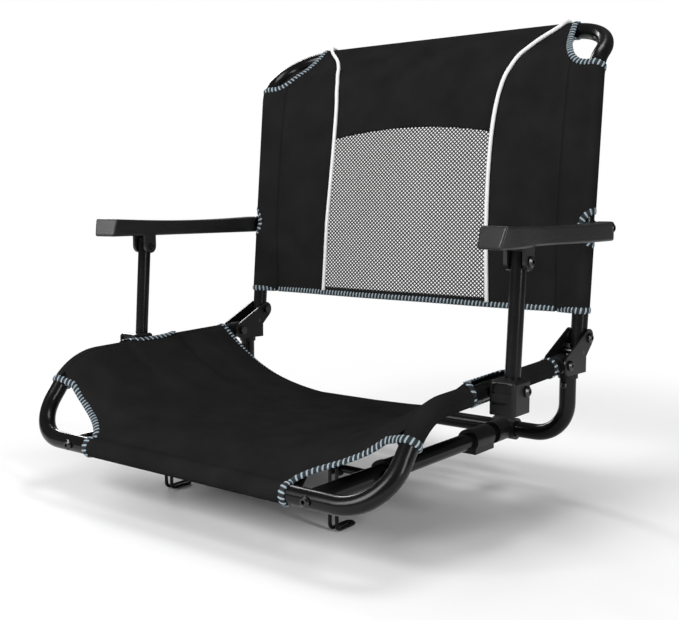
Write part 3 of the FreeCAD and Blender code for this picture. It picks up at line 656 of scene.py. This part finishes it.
def back_surface(x, length):
    """A point of the back sling; past the top bar the cloth runs down to its seam behind."""
    if length > over_length:
        seam = back_surface(x, axis_length - sleeve_width) - front_of(flare) * (2 * cloth_thickness)
        return along(back_surface(x, over_length), seam, clamp((length - over_length) / sleeve_width))
    front = back_front(length)
    depth = back_depth(length) * (1 - min(1.0, abs(x) / side_x) ** sag_power)
    side_fade, top_fade = back_crumple_fade
    fade = clamp((sheet_half - abs(x)) / side_fade) * clamp((axis_length - length) / top_fade)
    return Vector((x, front.y + depth + crumple(x, length) * fade, front.z))


def back_normal(x, length):
    """Out of the front of the back sling."""
    return front_of(back_surface(x, length + slope_step) - back_surface(x, length - slope_step))


def back_point(x, length, lift=0.0):
    point = back_surface(x, length)
    return point + back_normal(x, length) * lift if lift else point


def length_at(height):
    return next(length for length in spread(0, axis_length, fine_step) if back_front(length).z >= height)


seam_line = [(0.0, seam_foot_x)] + [(length_at(height), x) for height, x in seam_places]
seam_line.append((over_length, seam_top_x))


def seam_x(length):
    """Half-width between the two piped seams."""
    return smooth_through(seam_line, length)


def bite_share(share, power):
    """The curve of a cut-out corner: a power of 2 is a quarter ellipse, and a higher one is squarer."""
    return (1 - clamp(share) ** power) ** (1 / power)


def bite_x(length):
    """Half-width of the cloth where the top corners are cut out."""
    share = clamp((axis_length - length) / (axis_length - sleeve_length))
    start = top_sleeve_half + back_bite_slant * share
    return side_x - (side_x - start) * bite_share(share, back_bite_power)


def bite_rise(x):
    """How far up the bite's edge is above the sleeve's end, at a place across."""
    low, high = 0.0, axis_length - sleeve_length
    for halving in range(bite_halvings):
        middle = (low + high) / 2
        if bite_x(sleeve_length + middle) > abs(x):
            low = middle
        else:
            high = middle
    return low


def sleeve_rows(middle, half):
    """Places along a sleeve's cut-out, closer together near its ends."""
    return [middle - half * math.cos(math.pi * step / cut_rows) for step in range(cut_rows + 1)]


def cut_turn(place, middle, half, least):
    """How far round the tube the cloth reaches beside the cut-out."""
    return along(math.pi, least, bite_share(abs(place - middle) / half, 2))


def side_axis(side, length):
    """The axis of one upright at a length up the cloth."""
    return back_axis.at(length)[0] + Vector((side * side_x, 0, 0))


def back_sleeve_row(side, length, front, turn):
    """Points of one sleeve half at a place up the back, from the seam round the tube."""
    centre = side_axis(side, length)
    seam = back_point(side * sheet_half, length)
    normal = back_normal(side * sheet_half, min(length, sleeve_length))
    return wrap(centre, seam, normal if front else -normal, turn)


def back_sleeve_top_row(side, front):
    """The sleeve's top edge, which follows the bite."""
    return [along_sleeve(side, front, column, 1.0) for column in range(run_cells + arc_cells + 1)]


def along_sleeve(side, front, column, share, low=0.0):
    """A point of a sleeve half whose rows stretch up to the bite's edge."""
    row = back_sleeve_row(side, sleeve_length, front, math.pi)
    length = sleeve_length + bite_rise(row[column].x)
    return back_sleeve_row(side, along(low, length, share), front, math.pi)[column]


def back_sleeve_half(sheet, side, front):
    """One half of a back sleeve, with half of its oval cut-out for the armrest."""
    cut_low = arm_length - back_cut_half
    cut_high = arm_length + back_cut_half
    lengths = spread(0, cut_low, cell)[:-1] + sleeve_rows(arm_length, back_cut_half)
    rows = []
    for length in lengths:
        turn = cut_turn(length, arm_length, back_cut_half, back_cut_turn)
        rows.append(back_sleeve_row(side, length, front, turn))
    columns = range(run_cells + arc_cells + 1)
    for step in range(1, wing_upper_rows + 1):
        share = step / wing_upper_rows
        rows.append([along_sleeve(side, front, column, share, cut_high) for column in columns])
    upper = spread(cut_high, sleeve_length, (sleeve_length - cut_high) / wing_upper_rows)[1:]
    flat_rows = [flat_sleeve_row(row, length, side, front) for row, length in zip(rows, lengths + upper)]
    sheet.grid(rows, flat_rows, flip=(side > 0) != front)


def back_wing(side):
    """A wing of the back sling: from the piped seam out to the sleeve, up over the top bar."""
    sheet = Sheet()
    flat_rows = []
    for length in spread(0, back_length, cell):
        inner = seam_x(length)
        outer = max(min(sheet_half, bite_x(length)), inner + least_width)
        places = [along(inner, outer, column / wing_columns) for column in range(wing_columns + 1)]
        flat_rows.append([(side * x, length) for x in places])
    sheet.drape(flat_rows, back_point, flip=side < 0)
    for front in (True, False):
        back_sleeve_half(sheet, side, front)
    name = f"{hand[side]}_back_wing_cloth"
    return sheet.piece(name, cloth_black, "backrest", "cloth_black")


def arch_length(share):
    """Where the mesh panel's arched top lies, share of the way out to the seam."""
    return mesh_length + mesh_crown * (1 - share * share)


def back_upper():
    """The upper panel: from the arch over the top bar and down behind it."""
    sheet = Sheet()
    shares = [column / upper_columns - 1 for column in range(2 * upper_columns + 1)]
    flat_rows = []
    for step in spread(0, 1, cell / (back_length - mesh_length)):
        lengths = [along(arch_length(share), back_length, step) for share in shares]
        flat_rows.append([(share * seam_x(length), length) for share, length in zip(shares, lengths)])
    sheet.drape(flat_rows, back_point)
    return sheet.piece("back_upper_cloth", cloth_black, "backrest", "cloth_black")


def back_net():
    """The mesh panel: diagonal strands round diamond holes, tucked behind what it is sewn to."""
    points, faces, found = [], [], {}
    rows = int((arch_length(0) + net_tuck) / net_half_height) + 1
    columns = int((seam_foot_x + net_tuck) / net_half_width) + 1
    corners = ((1, 0), (0, 1), (-1, 0), (0, -1))

    def place(column, row):
        return back_point(column * net_half_width, row * net_half_height, -net_behind)

    def crossing(column, row):
        if (column, row) not in found:
            found[column, row] = len(points)
            points.append(place(column, row))
        return found[column, row]

    for row in range(1, rows):
        for column in range(-columns, columns + 1):
            x, length = column * net_half_width, row * net_half_height
            width = seam_x(length)
            top = arch_length(min(1, abs(x) / width))
            inside = abs(x) < width + net_tuck and length < top + net_tuck
            if (row + column) % 2 or not inside:
                continue
            outer = [crossing(column + across, row + rise) for across, rise in corners]
            first = len(points)
            for across, rise in corners:
                points.append(place(column + across * net_open, row + rise * net_open))
            for step in range(4):
                after = (step + 1) % 4
                faces.append([outer[step], outer[after], first + after, first + step])
    net = mesh_piece("back_net", points, faces, [mesh_black], "backrest")
    thicken(net, net_thickness)
    return net


def back_hem():
    """The solid strip below the mesh panel."""
    sheet = Sheet()
    places = spread(-1, 1, cell / seam_foot_x)
    lengths = spread(0, hem_height, seam_step)
    sheet.drape([[(place * seam_x(length), length) for place in places] for length in lengths], back_point)
    return sheet.piece("back_hem_cloth", cloth_black, "backrest", "cloth_black")


def tube_along(name, points, radius, sides, material, body):
    """A round tube through points, closed at both ends."""
    line = Path(points)
    verts, rings = [], []
    normal = Vector((1, 0, 0))
    for length in line.lengths:
        point, direction = line.at(length)
        normal = (normal - direction * normal.dot(direction)).normalized()
        other = direction.cross(normal)
        rings.append(len(verts))
        for step in range(sides):
            angle = 2 * math.pi * step / sides
            verts.append(point + (normal * math.cos(angle) + other * math.sin(angle)) * radius)
    return mesh_piece(name, verts, ring_faces(rings, sides), [material], body)


def back_piping(side):
    points = []
    for length in spread(hem_height / 2, over_length, seam_step):
        points.append(back_point(side * seam_x(length), length, piping_radius))
    name = f"{hand[side]}_back_piping_tube"
    return tube_along(name, points, piping_radius, piping_sides, piping_white, "backrest")


def bind_cut(edge, first, second, pitch, centre_of):
    """Binds an oval cut-out, given by its edge points on the two halves of the sleeve."""
    points = first + second[-2:0:-1]
    points.append(points[0])
    normals = [(point - centre_of(point)).normalized() for point in points]
    middle = sum(points, Vector()) / len(points)
    insides = [point + (point - middle) for point in points]
    edge.half_thick = cut_half_thick
    edge.run(stations_along(points, normals, insides), closed=True, pitch=pitch)
    edge.half_thick = edge_half_thick


def back_edges():
    """The striped edges of the back sling."""
    bottom = Edge()
    low_points = [back_point(x, 0.0) for x in spread(-sheet_half, sheet_half, cell)]
    bottom.run([(point, up_lean, back_normal(point.x, 0.0)) for point in low_points])
    corners = Edge()
    for side in (-1, 1):
        centre = side_axis(side, 0.0)
        front = back_sleeve_row(side, 0.0, True, math.pi)
        rear = back_sleeve_row(side, 0.0, False, math.pi)
        ring = front + rear[-2::-1]
        bottom.run([(point, up_lean, (point - centre).normalized()) for point in ring[1:-1]])

        front_top = back_sleeve_top_row(side, True)
        rear_top = back_sleeve_top_row(side, False)
        top_centre = side_axis(side, sleeve_length)
        points = rear_top[run_cells:-1] + front_top[:run_cells:-1]
        normals = [(point - top_centre).normalized() for point in points]
        run = front_top[run_cells:0:-1]
        points += run
        normals += [back_normal(side * sheet_half, sleeve_length)] * len(run)
        insides = [point - up_lean for point in points]
        start_length = sleeve_length + bite_rise(sheet_half)
        for length in spread(start_length, back_length - cell, cell / 2):
            point = back_point(side * bite_x(length), length)
            points.append(point)
            normals.append(back_normal(point.x, length))
            insides.append(point - Vector((side, 0, 0)) - up_lean * clamp((axis_length - length) / bite_turn))
        corners.run(stations_along(points, normals, insides))

        lengths = sleeve_rows(arm_length, back_cut_half)
        turns = [cut_turn(length, arm_length, back_cut_half, back_cut_turn) for length in lengths]
        places = list(zip(lengths, turns))
        halves = []
        for front in (True, False):
            halves.append([back_sleeve_row(side, length, front, turn)[-1] for length, turn in places])

        def axis_near(point, side=side):
            return side_axis(side, (point.z - back_edge_height) / up_lean.z)

        bind_cut(corners, *halves, stitch_pitch, axis_near)
    return bottom.piece("back_bottom_edge", "backrest"), corners.piece("back_cut_edges", "backrest")


# Seat sling


def rail_height(y):
    return rail_rear.z + rail_slope * (y - rail_rear.y)


def rail_point(y):
    return Vector((side_x, y, rail_height(y)))


front_corner = Vector((side_x, front_y, bar_height))
rise = math.tan(front_incline)
knee_depth = (rail_height(front_y) - bar_height) / (rise - rail_slope)
seat_knee = Vector((side_x, front_y + knee_depth, bar_height + knee_depth * rise))
seat_bend = bend(front_corner, seat_knee, rail_point(seat_rear_edge), seat_knee_radius)
seat_axis = Path([front_corner] + seat_bend + [rail_point(seat_rear_edge)])
knee_start_length = (seat_bend[0] - front_corner).length
knee_start, knee_end = seat_bend[0], seat_bend[-1]
bar_top = bar_height + wrap_radius


def seat_middle(y):
    """Height of the seat cloth along its middle."""
    return smooth_through([(front_y, bar_top), (knee_start.y, along(bar_top, seat_crown, seat_knee_share)),
                           (knee_end.y, seat_crown), (seat_rear_edge, seat_rear_height)], y)


def across_rail(length):
    """Where the cloth leaves a rail's top in a smooth line: centre, upward normal and angle inwards."""
    centre, direction = seat_axis.at(length)
    normal = Vector((0, -direction.z, direction.y))
    rise = centre.z - seat_middle(centre.y)
    lean = first_lean
    for step in range(lean_rounds):
        run = side_x - wrap_radius * math.sin(lean)
        lean = math.atan(sag_power * (rise + wrap_radius * math.cos(lean)) / run)
    return centre, normal, lean


rail_cut_start = post_pivot.y - seat_cut_ahead
rail_cut_end = post_pivot.y + seat_cut_behind
rail_cut_half = (rail_cut_end - rail_cut_start) / 2
rail_cut_middle = rail_point((rail_cut_start + rail_cut_end) / 2)
cut_middle_length = seat_axis.length - (rail_point(seat_rear_edge) - rail_cut_middle).length


def cut_share(length):
    """1 in the middle of the oval cut-out for the armrest's post, 0 at its ends and beyond."""
    return bite_share(abs(length - cut_middle_length) / rail_cut_half, seat_cut_power)


def rail_round(length, angle, lift=0.0):
    """A point of the right rail's sleeve; the angle runs from the top outwards."""
    centre, normal = across_rail(length)[:2]
    out = Vector((1, 0, 0)) * math.sin(angle) + normal * math.cos(angle)
    return centre + out * (wrap_radius + lift * cut_share(length))


def rail_shoulder(length):
    """The point where the cloth leaves the right rail's top; above the cut-out it stands off the rail."""
    return rail_round(length, -across_rail(length)[2], seat_cut_lift)


shoulders = [rail_shoulder(length) for length in spread(0, seat_axis.length, cell / 2)]
shoulder_places = [point.y for point in shoulders]


def shoulder_at(y):
    """The right rail's shoulder at a place from front to back."""
    index = span_at(shoulder_places, y)
    start, end = shoulders[index], shoulders[index + 1]
    return start.lerp(end, (y - start.y) / (end.y - start.y))


front_seam_y = front_y + sleeve_width
front_leave = math.radians(20)
front_leave_y = front_y + wrap_radius * math.sin(front_leave)
front_leave_z = bar_height + wrap_radius * math.cos(front_leave)


def front_slack(x, y):
    """How far the loose edge of a cut-out front corner hangs down."""
    share = clamp((y - front_leave_y) / (knee_start.y - front_leave_y))
    return seat_bite_slack * math.sin(math.pi * share ** seat_slack_power) * (x / side_x) ** 2


def seat_level(x, y):
    """Height of a taut seat: from the front bar's top, or between the rails' shoulders."""
    if y < front_seam_y:
        share = (front_seam_y - y) / (front_seam_y - front_leave_y)
        return along(seat_level(x, front_seam_y), front_leave_z, share)
    shoulder = shoulder_at(y)
    low = seat_middle(y)
    share = (abs(x) / shoulder.x) ** sag_power
    side_fade, front_fade = seat_crumple_fade
    fade = clamp((sheet_half - abs(x)) / side_fade) * clamp((y - front_seam_y) / front_fade)
    uneven = crumple(x, y + seat_crumple_shift) * fade
    droop = clamp(1 - (seat_rear_edge - y) / seat_droop_depth) ** 2 * seat_rear_droop * (1 - share)
    return along(low, shoulder.z, share) + uneven - droop


def seat_point(x, y):
    """A point of the seat's upper face."""
    return Vector((x, y, seat_level(x, y) - front_slack(x, y)))


def seat_normal(x, y):
    across = seat_point(x + fine_step, y) - seat_point(x - fine_step, y)
    ahead = seat_point(x, y + fine_step) - seat_point(x, y - fine_step)
    return across.cross(ahead).normalized()


def seat_half(y):
    """Half-width of the seat's upper face, with its front corners cut out."""
    share = (y - front_leave_y) / (knee_start.y - front_leave_y)
    return along(shoulder_at(y).x, front_sleeve_half, bite_share(share, seat_bite_power))


rail_lengths = (spread(knee_start_length, cut_middle_length - rail_cut_half, cell)[:-1]
                + sleeve_rows(cut_middle_length, rail_cut_half)
                + spread(cut_middle_length + rail_cut_half, seat_axis.length, cell)[1:])


def mirrored(point, side):
    return Vector((side * point.x, point.y, point.z))


def seat_cut_angle(length, upper):
    """How far round the rail the cloth reaches from above or from below, beside the oval cut-out."""
    least = seat_cut_upper if upper else seat_cut_lower
    return along(seat_sleeve_middle, least, cut_share(length))


def rail_upper_row(side, length):
    """The sleeve from the shoulder over the rail's top and outwards."""
    start = -across_rail(length)[2]
    end = seat_cut_angle(length, True)
    angles = [along(start, end, step / arc_cells) for step in range(arc_cells + 1)]
    return [mirrored(rail_round(length, angle, seat_cut_lift), side) for angle in angles]


def rail_lower_row(side, length):
    """The sleeve from the outer side under the rail and back up to the seam below the seat."""
    centre, normal = across_rail(length)[:2]
    y = max(centre.y, front_seam_y)
    reach = math.sqrt(clamp((length - knee_start_length) / seat_flap_taper))
    seam = seat_point(along(shoulder_at(y).x, sheet_half, reach), y) - Vector((0, 0, 2 * cloth_thickness))
    offset = seam - centre
    toward = math.atan2(offset.x, offset.dot(normal))
    leave = toward - math.acos(clamp(wrap_radius / offset.length)) + 2 * math.pi
    start = seat_cut_angle(length, False)
    row = [rail_round(length, along(start, leave, step / arc_cells)) for step in range(arc_cells + 1)]
    row += [row[-1].lerp(seam, (step + 1) / run_cells) for step in range(run_cells)]
    return [mirrored(point, side) for point in row]


def seat_sleeve(sheet, side):
    """A rail sleeve, with an oval cut-out on its outer side for the armrest's post."""
    for upper, row_of in ((True, rail_upper_row), (False, rail_lower_row)):
        rows, flat_rows = [], []
        gone_before = 0.0 if upper else wrap_radius * (seat_sleeve_middle - seat_cut_upper)
        for length in rail_lengths:
            row = row_of(side, length)
            rows.append(row)
            flat_rows.append([(side * (side_x + gone_before + gone), length - knee_start_length)
                              for gone in Path(row).lengths])
        sheet.grid(rows, flat_rows, flip=side > 0)


def seat_cloth():
    """The seat: round the front bar, up over the front, back to the rear edge, with its rail sleeves."""
    sheet = Sheet()
    shares = [column / seat_columns - 1 for column in range(2 * seat_columns + 1)]
    rows, bar_points = [], []
    for angle in spread(front_wrap_end, front_leave, arc_step):
        y = front_y + wrap_radius * math.sin(angle)
        bar_points.append((y, bar_height + wrap_radius * math.cos(angle)))
    under_seam = (front_seam_y, seat_point(0, front_seam_y).z - 2 * cloth_thickness)
    for step in range(run_cells):
        share = step / run_cells
        place = [along(start, end, share) for start, end in zip(under_seam, bar_points[0])]
        rows.append([Vector((share_x * front_sleeve_half, *place)) for share_x in shares])
    for place in bar_points:
        rows.append([Vector((share * front_sleeve_half, *place)) for share in shares])
    lengths = Path([row[0] for row in rows]).lengths
    flat_rows = [[(share * front_sleeve_half, gone - lengths[-1]) for share in shares] for gone in lengths]
    for y in spread(front_leave_y, seat_rear_edge, cell)[1:]:
        half = seat_half(y)
        rows.append([seat_point(share * half, y) for share in shares])
        flat_rows.append([(share * half, y - front_leave_y) for share in shares])
    sheet.grid(rows, flat_rows)
    for side in (-1, 1):
        seat_sleeve(sheet, side)
    return sheet.piece("seat_cloth", cloth_black, "frame", "cloth_black")


def rail_ring(side, length):
    """Points and outward normals round a rail sleeve's end, from the shoulder to the seam below."""
    centre = mirrored(across_rail(length)[0], side)
    points = rail_upper_row(side, length) + rail_lower_row(side, length)[1:]
    return points, [(point - centre).normalized() for point in points]


def seat_edges():
    """The striped edges of the seat sling."""
    rear = Edge()
    rear_half = shoulder_at(seat_rear_edge).x
    stations = []
    for x in spread(-rear_half, rear_half, cell):
        point = seat_point(x, seat_rear_edge)
        stations.append((point, Vector((0, -1, 0)), seat_normal(x, seat_rear_edge - rear_inset)))
    rear.run(stations)
    corners = Edge()
    for side in (-1, 1):
        points, normals = rail_ring(side, seat_axis.length)
        rear.run([(point, Vector((0, -1, 0)), normal) for point, normal in zip(points, normals)][:-1])

        points, normals, insides = [], [], []
        for angle in spread(front_bind_end, front_leave, arc_step):
            out = Vector((0, math.sin(angle), math.cos(angle)))
            points.append(Vector((side * front_sleeve_half, front_y, bar_height)) + out * wrap_radius)
            normals.append(out)
            insides.append(points[-1] - Vector((side, 0, 0)))
        for step in range(1, bite_steps):
            turn = step * math.pi / (2 * bite_steps)
            y = knee_start.y - (knee_start.y - front_leave_y) * math.cos(turn)
            x = seat_half(y)
            points.append(seat_point(side * x, y))
            normals.append(seat_normal(side * x, y))
            insides.append(bite_inside)
        ring_points, ring_normals = rail_ring(side, knee_start_length)
        ahead = seat_axis.at(knee_start_length + ring_lead)[1]
        points += ring_points[1:-run_cells]
        normals += ring_normals[1:-run_cells]
        insides += [point + ahead for point in ring_points[1:-run_cells]]
        corners.run(stations_along(points, normals, insides))

        lengths = sleeve_rows(cut_middle_length, rail_cut_half)
        upper = [rail_upper_row(side, length)[-1] for length in lengths]
        lower = [rail_lower_row(side, length)[0] for length in lengths]

        def rail_near(point, side=side):
            return mirrored(rail_point(point.y), side)

        bind_cut(corners, upper, lower, cut_stitch_pitch, rail_near)
    return rear.piece("seat_rear_edge", "frame"), corners.piece("seat_cut_edges", "frame")


def build_back():
    right_wing, left_wing = back_wing(1), back_wing(-1)
    upper, net, hem = back_upper(), back_net(), back_hem()
    right_piping, left_piping = back_piping(1), back_piping(-1)
    bottom_edge, cut_edges = back_edges()
    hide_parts("right_back_wing")
    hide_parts("left_back_wing")
    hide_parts("back_upper_panel")
    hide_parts("back_mesh_panel")
    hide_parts("back_hem")
    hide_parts("right_back_piping")
    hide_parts("left_back_piping")
    declare_sheet(right_wing)
    declare_sheet(left_wing)
    declare_sheet(upper)
    declare_sheet(hem)


def build_seat():
    seat = seat_cloth()
    rear_edge, cut_edges = seat_edges()
    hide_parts("seat_sling")
    declare_sheet(seat)


build_back()
build_seat()

# Floor, light and camera

floor_drop = 0.0005
floor_size = 12.0
shadow_radius = (0.35, 1.1)


def seen_rays(tree):
    """1 for rays that the camera follows straight, or through an opening; 0 for light."""
    rays = node(tree, "ShaderNodeLightPath")
    return math_node(tree, "MAXIMUM", rays.outputs["Is Camera Ray"], rays.outputs["Is Transmission Ray"])


def floor_material():
    """White floor: it keeps the shadow near the object and is plain white farther off."""
    material, tree, shader = new_material("floor")
    place = object_coordinates(tree)
    patches = noise_node(tree, place, 2)
    feed(shader, {"Base Color": colours(tree, patches, grey(0.9), grey(0.93)), "Roughness": 0.9,
                  "Specular IOR Level": 0.0})
    distance = node(tree, "ShaderNodeVectorMath", {0: place}, operation="LENGTH").outputs["Value"]
    start, end = shadow_radius
    far = node(tree, "ShaderNodeMapRange", {"Value": distance, "From Min": start, "From Max": end},
               interpolation_type="SMOOTHSTEP")
    share = math_node(tree, "MULTIPLY", far.outputs["Result"], seen_rays(tree))
    white = node(tree, "ShaderNodeEmission").outputs["Emission"]
    blend = node(tree, "ShaderNodeMixShader", {"Fac": share, 1: shader.outputs["BSDF"], 2: white})
    feed(tree.nodes["Material Output"], {"Surface": blend.outputs["Shader"]})
    return material


def stage_floor():
    half = floor_size / 2
    level = cad_low.z - floor_drop
    corners = [(-half, -half, level), (half, -half, level), (half, half, level), (-half, half, level)]
    mesh = bpy.data.meshes.new("floor")
    mesh.from_pydata(corners, [], [(0, 1, 2, 3)])
    mesh.materials.append(floor_material())
    floor = bpy.data.objects.new("floor", mesh)
    bpy.context.scene.collection.objects.link(floor)


def area_light(name, place, target, size, power):
    lamp = bpy.data.lights.new(name, "AREA")
    lamp.shape = "RECTANGLE"
    lamp.size, lamp.size_y = size
    lamp.energy = power
    holder = bpy.data.objects.new(name, lamp)
    holder.location = place
    holder.rotation_euler = (Vector(target) - Vector(place)).to_track_quat("-Z", "Y").to_euler()
    bpy.context.scene.collection.objects.link(holder)


def white_world():
    world = bpy.data.worlds.new("studio")
    world.use_nodes = True
    tree = world.node_tree
    strength = between(tree, seen_rays(tree), 0.1, 1.0)
    feed(tree.nodes["Background"], {"Strength": strength, "Color": (1, 1, 1, 1)})
    bpy.context.scene.world = world


def place_camera():
    """The photograph's viewpoint: a 53 mm lens a little above the armrests."""
    camera = bpy.data.cameras.new("camera")
    camera.sensor_fit = "HORIZONTAL"
    camera.sensor_width = 36.0
    camera.lens = 52.76
    camera.clip_start = 0.01
    holder = bpy.data.objects.new("camera", camera)
    holder.location = (0.7389, -0.8728, 0.2877)
    holder.rotation_euler = (math.radians(90 - 6.295), 0, math.radians(37.813))
    bpy.context.scene.collection.objects.link(holder)
    bpy.context.scene.camera = holder


stage_floor()
white_world()
target = (0, 0.05, 0.25)
area_light("key", (-0.7, -2.3, 1.5), target, (1.6, 1.2), 74)
area_light("side", (2.1, -0.5, 1.0), target, (0.3, 1.6), 26)
area_light("rim", (-1.7, 1.1, 1.2), target, (0.3, 1.6), 22)
area_light("top", (0.2, 0.5, 2.2), target, (0.8, 0.8), 14)
place_camera()
bpy.context.scene.view_settings.view_transform = "Standard"
